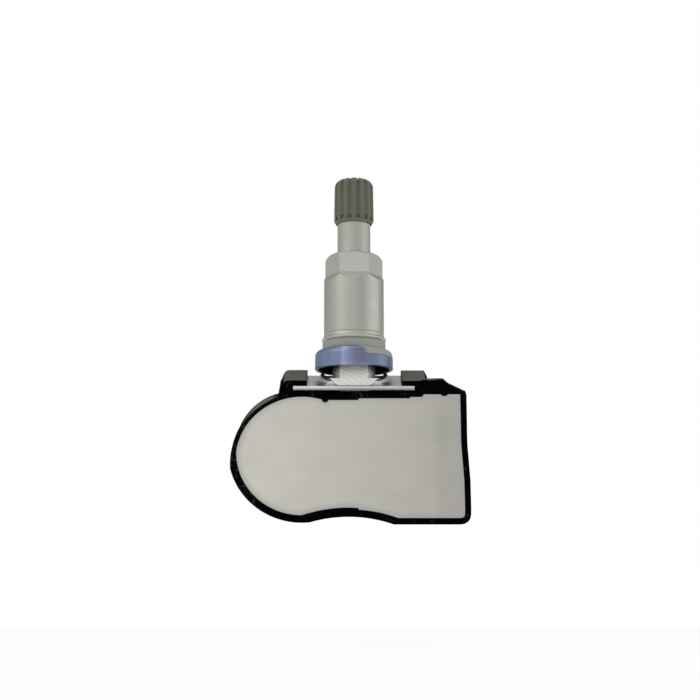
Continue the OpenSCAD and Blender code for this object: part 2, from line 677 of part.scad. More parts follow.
module pocket_walls() {
    g = 0.4 + 0.8;
    stop = -front + 0.55;
    intersection() {
        sphere(r = bowl_out + g);
        box([-12, stop, -12], [12, 12, deck_z + 3]);
    }
    box([-screw_head_d/2 - 1.3, stop, -head_end - 1.3], [screw_head_d/2 + 1.3, 20, deck_z + 3]);
}

// Circuit board with the notch that clears the screw pocket
module circuit_board() {
    low = foot_z + 1.4 + wall + 1;
    color("#2f6b45") in_sensor() slab(board_y, board_back) difference() {
        translate([board_x, low]) square([shoulder_x - wall - 1.15 - board_x, -9 - low]);
        translate([-5, -13]) square([10.4, 9]);
        translate(waist) circle(r = waist_r + 1.5 + wall + 0.6, $fn = 160);
        for (z = [-12, -29]) translate([20, z]) circle(d = 1.2, $fn = 24);
    }
}

// Coin cell with its stepped cover, and its two welded tabs
module battery() {
    color("#b9bbbd") in_sensor() {
        difference() {
            rod_y(cell_c[0], cell_c[1], battery_d, cell_y, cell_back);
            difference() {
                rod_y(cell_c[0], cell_c[1], battery_d + 1, cell_back - 0.7, cell_back + 1);
                rod_y(cell_c[0], cell_c[1], battery_d - 3, cell_back - 1, cell_back + 2);
            }
        }
    }
}
module tab_front() {
    color("#c6c8c8") in_sensor() {
        box([tab_x0, cell_y - tab_t, cell_c[1] + 0.1], [tab_x1, cell_y, cell_c[1] + 0.1 + tab_w]);
        box([tab_x1 - tab_t, cell_y - tab_t, cell_c[1] + 0.1], [tab_x1, board_y, cell_c[1] + 0.1 + tab_w]);
    }
}
module tab_back() {
    color("#c6c8c8") in_sensor() {
        box([tab_x0, cell_back, cell_c[1] - 0.1 - tab_w], [tab_x1, cell_floor, cell_c[1] - 0.1]);
        box([tab_x1 - tab_t, board_back, cell_c[1] - 0.1 - tab_w], [tab_x1, cell_floor, cell_c[1] - 0.1]);
    }
}

// Parts on the board
module lf_core() {
    color("#3a3d40") in_sensor() difference() {
        box([6, board_y - 2.4, -14.2], [14, board_y, -11]);
        for (y = [board_y - 3, board_y - 0.5]) box([7.2, y, -15], [12.8, y + 1.1, -10]);
        for (z = [-14.8, -11.5]) box([7.2, board_y - 3, z], [12.8, board_y + 1, z + 1.1]);
    }
}
module lf_winding() {
    color("#b1683a") in_sensor() difference() {
        box([7.3, board_y - 2.3, -14.1], [12.7, board_y - 0.1, -11.1]);
        box([7, board_y - 1.9, -13.7], [13, board_y - 0.5, -11.5]);
    }
}
module rf_antenna() {
    color("#c9a56a") in_sensor() {
        box([21.7, board_y - 1.8, -29], [22, board_y - 1.2, -12]);
        for (z = [-29, -20.5, -12.6]) box([21.7, board_y - 1.8, z], [22, board_y, z + 0.6]);
    }
}
module sensor_chip() {
    h = chip_w/2;
    color("#1f2022") in_sensor() difference() {
        box([chip_c[0] - h, board_back, chip_c[1] - h], [chip_c[0] + h, chip_back, chip_c[1] + h]);
        rod_y(chip_c[0], chip_c[1], port_d, chip_back - 0.8, chip_back + 1);
    }
}
module port_seal() {
    color("#3b4a3e") in_sensor() difference() {
        rod_y(chip_c[0], chip_c[1], port_d + 2.6, chip_back, box_floor);
        rod_y(chip_c[0], chip_c[1], port_d, chip_back - 1, box_floor + 1);
    }
}
module port_filter() {
    color("#e4e4df") in_sensor()
        rod_y(chip_c[0], chip_c[1], port_d + 1.3, box_back - 0.7, box_back - 0.4);
}
module crystal() {
    color("#c0c2c4") in_sensor() box([4.8, board_y - 0.8, -30.4], [8, board_y, -28.6]);
}
module capacitors() {
    color("#8a7358") in_sensor() for (i = [0:5])
        box([5.1 + 2.4*i, board_y - 0.7, -26.8], [6.3 + 2.4*i, board_y, -24.7]);
}

valve_cap();
cap_seal();
valve_stem();
collar_nut();
nut_washer();
grommet();
seat_ring();
core_plug();
core_barrel();
core_gasket();
core_pin();
core_cup();
core_spring();
foot_screw();
bracket();
housing();
potting();
circuit_board();
battery();
tab_front();
tab_back();
lf_core();
lf_winding();
rf_antenna();
sensor_chip();
port_seal();
port_filter();
crystal();
capacitors();
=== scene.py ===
"""Looks of a clamp-in tyre pressure sensor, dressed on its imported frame."""
import math

import bmesh
import bpy
from bpy.props import FloatProperty, FloatVectorProperty, PointerProperty
from bpy.types import Node, NodeSocket, Operator, Panel, PropertyGroup
from mathutils import Euler, Matrix, Vector


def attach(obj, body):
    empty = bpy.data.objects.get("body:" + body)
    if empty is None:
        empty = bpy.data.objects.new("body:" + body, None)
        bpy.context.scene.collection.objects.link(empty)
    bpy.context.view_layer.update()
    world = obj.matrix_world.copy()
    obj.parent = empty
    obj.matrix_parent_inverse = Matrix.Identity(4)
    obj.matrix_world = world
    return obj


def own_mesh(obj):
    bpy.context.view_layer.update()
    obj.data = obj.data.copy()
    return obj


bl_info = {
    "name": "Tyre Pressure Sensor",
    "version": (1, 0, 0),
    "blender": (4, 5, 0),
    "location": "3D View > Sidebar > Sensor",
    "description": "Dresses a clamp-in tyre valve and its sensor with real finishes and a plain studio",
    "category": "Object",
}

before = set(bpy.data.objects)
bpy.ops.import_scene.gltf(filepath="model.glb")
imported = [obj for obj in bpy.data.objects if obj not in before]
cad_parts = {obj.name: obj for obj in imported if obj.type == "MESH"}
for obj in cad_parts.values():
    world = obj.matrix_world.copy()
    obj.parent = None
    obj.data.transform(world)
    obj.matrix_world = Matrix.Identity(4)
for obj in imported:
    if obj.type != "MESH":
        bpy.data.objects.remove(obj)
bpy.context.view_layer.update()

MM = 0.001
# middle of the ball foot in millimetres, about which the sensor is tilted by so many degrees
BALL = Vector((0.0, 0.0, -0.9))
TILT = 24.0
SENSOR = Matrix.Translation(BALL) @ Matrix.Rotation(math.radians(TILT), 4, "X")

# Stage: where the photograph was taken from, in millimetres
CAMERA_SPOT = Vector((-0.88, -335.22, -56.87))
# the floor's radius in millimetres, the share of its light that is glow, and how bright the camera sees that
FLOOR_R, FLOOR_SHARE, FLOOR_WHITE = 900, 0.82, 1.06
# brightness of the room's walls round the object: 0 and 1 are behind it, 0.25 left, 0.5 in front, 0.75 right
WALLS = ((0.0, 0.32), (0.167, 0.42), (0.24, 0.56), (0.32, 0.44), (0.43, 0.46), (0.5, 0.66), (0.585, 0.29),
         (0.65, 0.5), (0.73, 1.0), (0.78, 0.84), (0.83, 0.34), (0.92, 0.36), (1.0, 0.32))

# Finishes, in millimetres
# feed of the lathe for each turn, drawn coarse enough to blur the light
FEED = 0.16
# usual height of a fine relief
GRAIN = 0.04
# the cap's ribs start at this radius and height, and lean in by so much for each millimetre
CAP_FOOT_R, CAP_FOOT_Z, CAP_LEAN = 4.525, 30.8, 0.15 / 10.4
# heights between which the cap has its ribs
CAP_RIBS = (31.6, 40.0)
# in the sensor's frame the bracket's sheared edge lies in front of this Y
SHEARED_Y = -6.2
# the housing's hooks lie above this height, and the dust and painted sheen on its round lobe fade in between
# these two X
HOOKS_Z = -7.4
LOBE_X = (-16.6, -18.2)
# outside this radius the seat ring is coated, and inside it, under the skirt, it is painted dark as painted
# shade
SKIRT_R = 8.35
# painted highlight and painted shade round the seat ring, with the places as in WALLS
RING_PAINTED_LIGHT = ((0.36, 0.72), (0.44, 0.6), (0.459, 1.0), (0.5, 0.52), (0.545, 0.64), (0.6, 0.42), (0.66, 0.64))

# Added pieces, in millimetres: the potting's climbing edge, with the steps round it, its gap to the rim, the dip
# at its inner end and the depth of its back
OUTLINE_STEP, RIM_GAP, FACE_DIP, SUNK = 0.25, 0.02, 0.012, 0.06
# rounds of smoothing of the directions in which it goes inward
INWARD_ROUNDS = 30
# edges that turn by more than this angle in degrees stay sharp
SHARP = 35
# steps in a turn of a thread ridge, then half the width of its flat crest and the length of its run-out, both in
# pitches
RIDGE_STEPS, CREST_HALF, RUN_OUT = 40, 0.07, 0.5
# a direction along which no two corners or faces of a ridge lie equally far
SORT_WAY = Vector((0.0137, 0.00171, 1.0))


def linear(code):
    """Turns an sRGB hex colour such as #a5a69f into linear red, green and blue."""
    parts = [int(code[i:i + 2], 16) / 255 for i in (1, 3, 5)]
    return [c / 12.92 if c <= 0.04045 else ((c + 0.055) / 1.055) ** 2.4 for c in parts]


def paint(code):
    """The same colour with an alpha of one, for a node's colour socket."""
    return (*linear(code), 1.0)


# Sizes and colours


def colour(name, code, words):
    """A colour that the panel shows, with its default as an sRGB hex value."""
    return FloatVectorProperty(name=name, description=words, subtype="COLOR", size=3, min=0, max=1,
                               default=linear(code))


class SensorColours(PropertyGroup):
    """Colours of the surfaces that show."""
    aluminium: colour("Aluminium", "#bfc0b8", "Satin aluminium of the stem, nut and washer")
    ring: colour("Seat ring", "#99b1d3", "Blue passivated zinc of the seat ring")
    ring_violet: colour("Seat ring, violet", "#b1b4dc", "Violet cast of the thicker passivation")
    grommet: colour("Grommet", "#9a9e9a", "Grey rubber of the grommet")
    cap: colour("Cap", "#646454", "Olive-grey plastic of the dust cap")
    steel: colour("Bracket", "#d3d8d6", "Zinc-plated steel of the bracket")
    housing: colour("Housing", "#060607", "Black nylon of the housing")
    potting: colour("Potting", "#d3d1c5", "Pale potting compound")
    # painted shade: the colour the potting is painted towards on its right and over the sink
    potting_shade: colour("Potting, shade", "#aaa9a0", "Potting over the thin sunk part on the right")


class SensorSizes(PropertyGroup):
    """Sizes of the pieces that the scene adds."""
    meniscus: FloatProperty(name="Meniscus height",
                            description="How far the potting climbs the rim, in millimetres",
                            default=0.16, min=0.02, max=0.19)
    meniscus_width: FloatProperty(name="Meniscus width",
                                  description="Width of the climbing edge in millimetres",
                                  default=1.7, min=0.4, max=3)
    edge: FloatProperty(name="Edge rounding", description="Radius of the worn edges in millimetres",
                        default=0.14, min=0.02, max=0.4)
    cap_pitch: FloatProperty(name="Cap thread pitch",
                             description="Pitch of the stem's cap thread in millimetres",
                             default=0.794, min=0.5, max=1.2)
    nut_pitch: FloatProperty(name="Nut thread pitch", description="Pitch of the nut thread in millimetres",
                             default=1.0, min=0.5, max=1.5)


class SensorStage(PropertyGroup):
    """Light, floor and camera."""
    floor_z: FloatProperty(name="Floor height", description="Height of the floor below the grommet's seat",
                           default=-0.0625, unit="LENGTH", precision=4)
    lens: FloatProperty(name="Focal length", description="Focal length of the camera",
                        default=78.7, min=20, max=200, unit="CAMERA")
    pitch: FloatProperty(name="Camera pitch", description="Angle at which the camera looks up",
                         default=math.radians(10), subtype="ANGLE")
    world: FloatProperty(name="Room level", description="Strength of the soft light from the room's walls",
                         default=1.32, min=0, max=3)
    bounce: FloatProperty(name="Floor bounce", description="Light that the floor sends up to the object",
                          default=0.98, min=0, max=2)
    key: FloatProperty(name="Key light", description="Power of the large light above on the left",
                       default=0.8, min=0, max=20, unit="POWER")
    fill: FloatProperty(name="Fill light", description="Power of the large light in front on the right",
                        default=0.12, min=0, max=20, unit="POWER")


# Helpers


def link(mat, source, socket):
    """Links an output to a socket; a node stands for its first live output."""
    if isinstance(source, Node):
        source = next(out for out in source.outputs if out.enabled)
    mat.node_tree.links.new(source, socket)


def add(mat, kind, *values, **more):
    """Adds one node with its settings and links.

    Plain values fill its live sockets in order, capitalised names are sockets, and the others are settings.
    """
    node = mat.node_tree.nodes.new("ShaderNode" + kind)
    for key, value in more.items():
        if key[0].islower():
            setattr(node, key, value)
    pairs = list(zip([socket for socket in node.inputs if socket.enabled], values))
    pairs += [(node.inputs[key.replace("_", " ")], value) for key, value in more.items() if key[0].isupper()]
    for socket, value in pairs:
        if isinstance(value, (Node, NodeSocket)):
            link(mat, value, socket)
        else:
            socket.default_value = value
    return node


def graded(mat, value, stops):
    """Grey levels along a value from 0 to 1, given as pairs of place and level."""
    node = add(mat, "ValToRGB", value)
    cells = node.color_ramp.elements
    while len(cells) < len(stops):
        cells.new(0.5)
    for cell, (spot, level) in zip(cells, stops):
        cell.position = spot
        cell.color = (level, level, level, 1)
    return node


def new_material(name, base, **values):
    """A material with one Principled shader; base is a colour or a list of red, green and blue."""
    mat = bpy.data.materials.new(name)
    mat.use_nodes = True
    shader = mat.node_tree.nodes["Principled BSDF"]
    shader.inputs["Base Color"].default_value = paint(base) if isinstance(base, str) else (*base, 1.0)
    for key, value in values.items():
        shader.inputs[key.replace("_", " ")].default_value = value
    return mat, shader


def place(mat, inside_sensor=False):
    """Object coordinates in millimetres, turned into the sensor's own frame where asked."""
    at = add(mat, "TexCoord").outputs["Object"]
    if not inside_sensor:
        return add(mat, "Mapping", at, Scale=(1 / MM,) * 3)
    turn = Matrix.Rotation(math.radians(-TILT), 3, "X")
    return add(mat, "Mapping", at, -(turn @ BALL), (math.radians(-TILT), 0, 0), (1 / MM,) * 3)


def facing(mat):
    """X, Y and Z of the way a surface faces, in the object's own frame."""
    return add(mat, "SeparateXYZ", add(mat, "TexCoord").outputs["Normal"]).outputs


def off_axis(mat, part):
    """How far a place is from the valve's axis, in millimetres."""
    squares = [add(mat, "Math", part[key], part[key], operation="MULTIPLY") for key in ("X", "Y")]
    return add(mat, "Math", add(mat, "Math", *squares, operation="ADD"), operation="SQRT")


def worn(mat, shader, radius, height, strength, distance=GRAIN):
    """Rounds the edges in the light, and lays a fine relief over them; radius and distance in millimetres."""
    soft = add(mat, "Bevel", radius * MM, samples=6)
    relief = add(mat, "Bump", Strength=strength, Distance=distance * MM, Height=height, Normal=soft)
    link(mat, relief, shader.inputs["Normal"])


def dress(mat, *names):
    """Gives CAD nodes their material."""
    for name in names:
        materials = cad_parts[name].data.materials
        materials.clear()
        materials.append(mat)


def finish_piece(name, bm, mat, body):
    """Turns a bmesh in millimetres into a piece that rides on a body."""
    bm.transform(Matrix.Scale(MM, 4))
    mesh = bpy.data.meshes.new(name)
    bm.to_mesh(mesh)
    bm.free()
    obj = bpy.data.objects.new(name, mesh)
    bpy.context.scene.collection.objects.link(obj)
    mesh.materials.append(mat)
    mesh.shade_smooth()
    mesh.set_sharp_from_angle(angle=math.radians(SHARP))
    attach(obj, body)
    return obj


# Materials


def opaque(tint):
    """A linear colour with an alpha of one."""
    return (*tint, 1.0)


def turned_aluminium(name, tint, rough, marks=None, milled=None):
    """Satin aluminium off the lathe: fine feed rings blur the light along Z, and faint clouds dull it.

    Marks draws the cutter's marks, and milled gives the colour and the mask of the flats that have them.
    """
    mat, shader = new_material(name, tint, Metallic=1.0, Roughness=rough)
    at = place(mat)
    part = add(mat, "SeparateXYZ", at).outputs
    feed = add(mat, "Math", part["Z"], 2 * math.pi / FEED, operation="MULTIPLY")
    feed = add(mat, "Math", feed, operation="SINE")
    cloud = add(mat, "TexNoise", Vector=at, Scale=0.5, Detail=3.0)
    cloud = add(mat, "MapRange", cloud, 0.3, 0.7, rough - 0.05, rough + 0.06)
    # the shank above the nut is blasted duller
    dull = add(mat, "MapRange", part["Z"], 24.0, 25.0, 0.0, 0.16)
    link(mat, add(mat, "Math", cloud, dull, operation="ADD"), shader.inputs["Roughness"])
    patch = add(mat, "TexNoise", Vector=at, Scale=0.12, Detail=2.0)
    patch = add(mat, "MapRange", patch, 0.4, 0.62, 0.0, 0.35)
    warmer = opaque([tint[0] * 0.96, tint[1], tint[2] * 0.9])
    stain = add(mat, "Mix", patch, opaque(tint), warmer, data_type="RGBA")
    height = add(mat, "Math", feed, 0.1, operation="MULTIPLY")
    if marks is not None:
        # the cutter leaves its flats brighter than the lathe leaves the rest, and the foot's flats are painted
        # brighter still as painted light, with a dark line in each mark
        bright, mask = milled
        cuts = marks(mat, part)
        groove = add(mat, "MapRange", cuts, 0.7, 1.0, 0.0, 0.25)
        flat = add(mat, "Mix", groove, bright, paint("#8d8e88"), data_type="RGBA")
        stain = add(mat, "Mix", mask(mat, part), stain, flat, data_type="RGBA")
        height = add(mat, "Math", height, cuts, operation="ADD")
    link(mat, stain, shader.inputs["Base Color"])
    worn(mat, shader, bpy.context.scene.sensor_sizes.edge, height, 0.25)
    return mat


def between(mat, value, low, high):
    """One where a value lies between two limits, else zero."""
    above = add(mat, "Math", value, low, operation="GREATER_THAN")
    below = add(mat, "Math", value, high, operation="LESS_THAN")
    return add(mat, "Math", above, below, operation="MULTIPLY")


def facing_flat(low, high):
    """One on flat faces that look to the front or back between two heights, else zero."""
    def mask(mat, part):
        square = add(mat, "Math", facing(mat)["Y"], operation="ABSOLUTE")
        square = add(mat, "MapRange", square, 0.93, 0.99, 0.0, 1.0)
        return add(mat, "Math", square, between(mat, part["Z"], low, high), operation="MULTIPLY")
    return mask


def whole(low, high):
    """One between two heights, else zero."""
    def mask(mat, part):
        return between(mat, part["Z"], low, high)
    return mask


def cutter_marks(direction, pitch, low, high, depth, wander):
    """Parallel marks of a milling cutter across a flat, between two heights, bent by so many millimetres."""
    def marks(mat, part):
        across = add(mat, "Math", part["X"], direction[0], operation="MULTIPLY")
        along = add(mat, "Math", part["Z"], direction[1], operation="MULTIPLY")
        drift = add(mat, "TexNoise", Vector=place(mat), Scale=0.2, Detail=0.0)
        run = add(mat, "Math", across, along, operation="ADD")
        run = add(mat, "Math", run, add(mat, "Math", drift, wander, operation="MULTIPLY"), operation="ADD")
        wave = add(mat, "Math", add(mat, "Math", run, pitch, operation="DIVIDE"), 0.5, operation="PINGPONG")
        wave = add(mat, "Math", add(mat, "Math", wave, 0.5, operation="POWER"), depth, operation="MULTIPLY")
        return add(mat, "Math", wave, between(mat, part["Z"], low, high), operation="MULTIPLY")
    return marks


def moulded_grey_rubber(tones):
    """Grey rubber with a faint bloom that makes it paler in patches."""
    mat, shader = new_material("moulded_grey_rubber", tones.grommet, Roughness=0.55)
    at = place(mat)
    bloom = add(mat, "TexNoise", Vector=at, Scale=0.25, Detail=3.0)
    bloom = add(mat, "MapRange", bloom, 0.4, 0.65, 0.0, 0.5)
    paler = opaque([c * 1.12 for c in tones.grommet])
    body = add(mat, "Mix", bloom, opaque(tones.grommet), paler, data_type="RGBA")
    link(mat, body, shader.inputs["Base Color"])
    worn(mat, shader, 0.15, add(mat, "TexNoise", Vector=at, Scale=6.0, Detail=4.0), 0.15)
    return mat


def blue_passivated_zinc(tones):
    """Zinc with a blue film that drifts to violet round the ring, with a painted highlight and painted shade
    round it, and painted shade inside the skirt.
    """
    mat, shader = new_material("blue_passivated_zinc", tones.ring, Metallic=1.0, Roughness=0.27)
    at = place(mat)
    part = add(mat, "SeparateXYZ", at).outputs
    front = add(mat, "Math", part["Y"], -1.0, operation="MULTIPLY")
    turn = add(mat, "Math", part["X"], front, operation="ARCTAN2")
    drift = add(mat, "TexNoise", Vector=at, Scale=0.3, Detail=3.0)
    drift = add(mat, "Math", turn, add(mat, "Math", drift, 1.4, operation="MULTIPLY"), operation="ADD")
    drift = add(mat, "Math", add(mat, "Math", drift, 0.72, operation="SUBTRACT"), 3.0, operation="MULTIPLY")
    film = add(mat, "Math", add(mat, "Math", drift, operation="COSINE"), 1.0, operation="ADD")
    film = add(mat, "Math", film, 0.42, operation="MULTIPLY")
    coat = add(mat, "Mix", film, opaque(tones.ring), opaque(tones.ring_violet), data_type="RGBA")
    # painted highlight in one narrow band left of the front, and painted shade right of it
    way = add(mat, "Math", add(mat, "Math", turn, 2 * math.pi, operation="DIVIDE"), 0.5, operation="ADD")
    coat = add(mat, "Mix", 1.0, coat, graded(mat, way, RING_PAINTED_LIGHT), data_type="RGBA", blend_type="MULTIPLY")
    # painted shade: inside the skirt, low down, the ring is painted near black
    inner = add(mat, "MapRange", off_axis(mat, part), SKIRT_R, SKIRT_R - 0.2, 0.0, 1.0)
    lower = add(mat, "Math", part["Z"], -0.1, operation="LESS_THAN")
    inner = add(mat, "Math", inner, lower, operation="MULTIPLY")
    link(mat, add(mat, "Mix", inner, coat, paint("#05070d"), data_type="RGBA"), shader.inputs["Base Color"])
    cloud = add(mat, "TexNoise", Vector=at, Scale=0.7, Detail=3.0)
    link(mat, add(mat, "MapRange", cloud, 0.3, 0.7, 0.22, 0.34), shader.inputs["Roughness"])
    worn(mat, shader, 0.35, add(mat, "TexNoise", Vector=at, Scale=1.2, Detail=3.0), 0.08)
    return mat


def moulded_olive_nylon(tones):
    """Olive nylon with a fine spark-eroded grain, paler where it is handled, with painted shade between the
    ribs.
    """
    mat, shader = new_material("moulded_olive_nylon", tones.cap, Roughness=0.5)
    at = place(mat)
    part = add(mat, "SeparateXYZ", at).outputs
    rub = add(mat, "MapRange", add(mat, "TexNoise", Vector=at, Scale=0.9, Detail=4.0), 0.45, 0.75, 0.0, 0.4)
    paler = opaque([c * 1.25 for c in tones.cap])
    body = add(mat, "Mix", rub, opaque(tones.cap), paler, data_type="RGBA")
    lean = add(mat, "Math", part["Z"], CAP_LEAN, operation="MULTIPLY")
    depth = add(mat, "Math", off_axis(mat, part), lean, operation="ADD")
    crest = CAP_FOOT_R + CAP_FOOT_Z * CAP_LEAN
    # painted shade: the grooves between the ribs are painted darker
    groove = add(mat, "MapRange", depth, crest - 0.08, crest - 0.3, 0.0, 0.5)
    groove = add(mat, "Math", groove, between(mat, part["Z"], *CAP_RIBS), operation="MULTIPLY")
    link(mat, add(mat, "Mix", groove, body, paint("#33342a"), data_type="RGBA"), shader.inputs["Base Color"])
    worn(mat, shader, 0.12, add(mat, "TexNoise", Vector=at, Scale=7.0, Detail=4.0), 0.25)
    return mat


def zinc_plated_steel(tones):
    """Bright zinc over rolled steel: faint streaks across the strip, dull clouds, a painted highlight on the
    sheared edge.
    """
    mat, shader = new_material("zinc_plated_steel", tones.steel, Metallic=1.0, Roughness=0.3)
    at = place(mat, True)
    along = add(mat, "Mapping", at, Scale=(0.15, 2.5, 2.5))
    streak = add(mat, "TexNoise", Vector=along, Scale=1.0, Detail=4.0)
    cloud = add(mat, "TexNoise", Vector=at, Scale=0.8, Detail=4.0)
    cloud = add(mat, "Math", cloud, 0.6, operation="MULTIPLY")
    cloud = add(mat, "Math", cloud, add(mat, "Math", streak, 0.4, operation="MULTIPLY"), operation="ADD")
    link(mat, add(mat, "MapRange", cloud, 0.35, 0.65, 0.3, 0.5), shader.inputs["Roughness"])
    spot = add(mat, "SeparateXYZ", at).outputs
    front = facing(mat)
    # painted highlight: the sheared edge that faces front and down is painted near white, fading towards the
    # right
    sheared = add(mat, "Math", add(mat, "MapRange", front["Y"], -0.86, -0.9, 0.0, 1.0),
                  add(mat, "MapRange", front["Z"], -0.3, -0.38, 0.0, 1.0), operation="MULTIPLY")
    outermost = add(mat, "Math", spot["Y"], SHEARED_Y, operation="LESS_THAN")
    sheared = add(mat, "Math", sheared, outermost, operation="MULTIPLY")
    highlight_fade = add(mat, "MapRange", spot["X"], -7.0, -1.0, 1.0, 0.35)
    sheared = add(mat, "Math", sheared, highlight_fade, operation="MULTIPLY")
    link(mat, add(mat, "Mix", sheared, opaque(tones.steel), paint("#fbfcfa"), data_type="RGBA"),
         shader.inputs["Base Color"])
    worn(mat, shader, 0.22, cloud, 0.2, 0.05)
    return mat


def moulded_black_nylon(tones):
    """Black glass-filled nylon: nearly no light comes back from it, dusty and with a painted sheen on top,
    scuffed on the rim.
    """
    mat, shader = new_material("moulded_black_nylon", tones.housing, Roughness=0.42, Specular_IOR_Level=0.0)
    at = place(mat, True)
    patch = add(mat, "TexNoise", Vector=at, Scale=0.3, Detail=4.0)
    patch = add(mat, "MapRange", patch, 0.54, 0.66, 0.0, 1.0)
    # the round lobe's rim is scuffed most, in front
    spot = add(mat, "SeparateXYZ", at).outputs
    handled = add(mat, "Math", add(mat, "MapRange", spot["X"], -19.0, -23.0, 0.0, 0.75),
                  add(mat, "MapRange", spot["Y"], -3.0, -1.0, 1.0, 0.3), operation="MULTIPLY")
    patch = add(mat, "Math", patch, handled, operation="MAXIMUM")
    speck = add(mat, "TexNoise", Vector=at, Scale=1.6, Detail=4.0)
    speck = add(mat, "MapRange", speck, 0.52, 0.66, 0.0, 0.42)
    scuff = add(mat, "Math", patch, speck, operation="MULTIPLY")
    body = add(mat, "Mix", scuff, opaque(tones.housing), paint("#4c4c4a"), data_type="RGBA")
    grain = add(mat, "TexNoise", Vector=at, Scale=4.5, Detail=5.0)
    # dust and a painted sheen lie where the surface faces up, but are kept off the edge below, which the
    # bracket's plate shades
    part = add(mat, "SeparateXYZ", place(mat)).outputs
    hooks = add(mat, "Math", add(mat, "Math", part["Z"], HOOKS_Z, operation="GREATER_THAN"),
                add(mat, "MapRange", part["X"], 16.8, 18.2, 1.0, 0.15), operation="MULTIPLY")
    lobe = add(mat, "MapRange", part["X"], *LOBE_X, 0.0, 1.0)
    dust_and_sheen = add(mat, "Math", add(mat, "MapRange", facing(mat)["Z"], 0.44, 0.72, 0.0, 1.0),
               add(mat, "Math", lobe, hooks, operation="MAXIMUM"), operation="MULTIPLY")
    dust_and_sheen = add(mat, "Math", dust_and_sheen, add(mat, "MapRange", grain, 0.3, 0.7, 0.5, 1.0), operation="MULTIPLY")
    link(mat, add(mat, "Mix", dust_and_sheen, body, paint("#7c7b75"), data_type="RGBA"), shader.inputs["Base Color"])
    link(mat, add(mat, "MapRange", grain, 0.3, 0.7, 0.36, 0.5), shader.inputs["Roughness"])
    worn(mat, shader, 0.2, grain, 0.4, 0.06)
    return mat


def cast_polyurethane(tones):
    """Cast resin: pale, faintly blotched, with painted shade that grows to the right and over a sink there, and
    a cool painted reflection where it climbs the rim.
    """
    mat, shader = new_material("cast_polyurethane", tones.potting, Roughness=0.34)
    at = place(mat, True)
    part = add(mat, "SeparateXYZ", at).outputs
    # painted shade: the potting darkens from left to right
    shade = add(mat, "MapRange", part["X"], -22.0, 24.0, 0.0, 0.85)
    # painted shade over the sink: a band round X of about 20 that is darker towards the bottom
    middle = add(mat, "Math", part["Z"], -0.06, operation="MULTIPLY")
    middle = add(mat, "Math", middle, 20.2, operation="ADD")
    sink = add(mat, "Math", part["X"], middle, operation="SUBTRACT")
    sink = add(mat, "Math", add(mat, "Math", sink, sink, operation="MULTIPLY"), -0.16, operation="MULTIPLY")
    sink = add(mat, "Math", sink, operation="EXPONENT")
    lower = add(mat, "MapRange", part["Z"], -8.0, -24.0, 0.2, 0.6)
    lower = add(mat, "Math", sink, lower, operation="MULTIPLY")
    shade = add(mat, "Math", shade, lower, operation="ADD", use_clamp=True)
    blotch = add(mat, "TexNoise", Vector=at, Scale=0.16, Detail=2.0)
    blotch = add(mat, "MapRange", blotch, 0.35, 0.65, -0.06, 0.06)
    shade = add(mat, "Math", shade, blotch, operation="ADD", use_clamp=True)
    body = add(mat, "Mix", shade, opaque(tones.potting), opaque(tones.potting_shade), data_type="RGBA")
    pink = add(mat, "MapRange", add(mat, "TexNoise", Vector=at, Scale=0.11, Detail=1.0), 0.4, 0.6, 0.0, 0.22)
    body = add(mat, "Mix", pink, body, paint("#c3bab6"), data_type="RGBA")
    # painted reflection: where the potting climbs the rim it is painted a cooler grey
    climb = add(mat, "Attribute", attribute_name="climb").outputs["Fac"]
    climb = add(mat, "Math", climb, 0.8, operation="MULTIPLY")
    link(mat, add(mat, "Mix", climb, body, paint("#a4acac"), data_type="RGBA"), shader.inputs["Base Color"])
    swell = add(mat, "TexNoise", Vector=at, Scale=0.09, Detail=2.0)
    swell = add(mat, "Math", add(mat, "Math", sink, -0.8, operation="MULTIPLY"), swell, operation="ADD")
    worn(mat, shader, 0.15, swell, 0.5, 0.4)
    return mat


# Added pieces


def ridge(bm, pitch, root, crest, low, high, wide, shift):
    """Winds one right-handed thread ridge round Z; a crest smaller than the root makes an inner thread.

    Root and crest are radii, low and high are heights, wide is half the width at the root in pitches, and
    shift moves the start up by a share of the pitch.
    """
    turns = (high - low) / pitch
    z = low + shift * pitch
    corners = [bm.verts.new((r, 0, z + dz * pitch)) for r, dz in
               ((root, -wide), (crest, -CREST_HALF), (crest, CREST_HALF), (root, wide))]
    edges = [bm.edges.new((corners[i], corners[(i + 1) % 4])) for i in range(4)]
    count = round(RIDGE_STEPS * turns)
    bmesh.ops.spin(bm, geom=corners + edges, cent=(0, 0, 0), axis=(0, 0, 1), angle=2 * math.pi * turns,
                   dvec=(0, 0, (high - low) / count), steps=count, use_merge=False)
    bmesh.ops.holes_fill(bm, edges=bm.edges[:], sides=4)
    for vert in bm.verts:
        # the ridge runs out into the root at both ends
        run = min(vert.co.z - low, high - vert.co.z + wide * pitch) / (pitch * RUN_OUT)
        r = math.hypot(vert.co.x, vert.co.y)
        grown = root + (r - root) * max(0.04, min(1.0, run))
        vert.co.x *= grown / r
        vert.co.y *= grown / r
    bmesh.ops.recalc_face_normals(bm, faces=bm.faces[:])
    # spin leaves the faces in an order that changes from run to run
    bm.verts.sort(key=lambda vert: vert.co.dot(SORT_WAY))
    bm.faces.sort(key=lambda face: face.calc_center_median().dot(SORT_WAY))


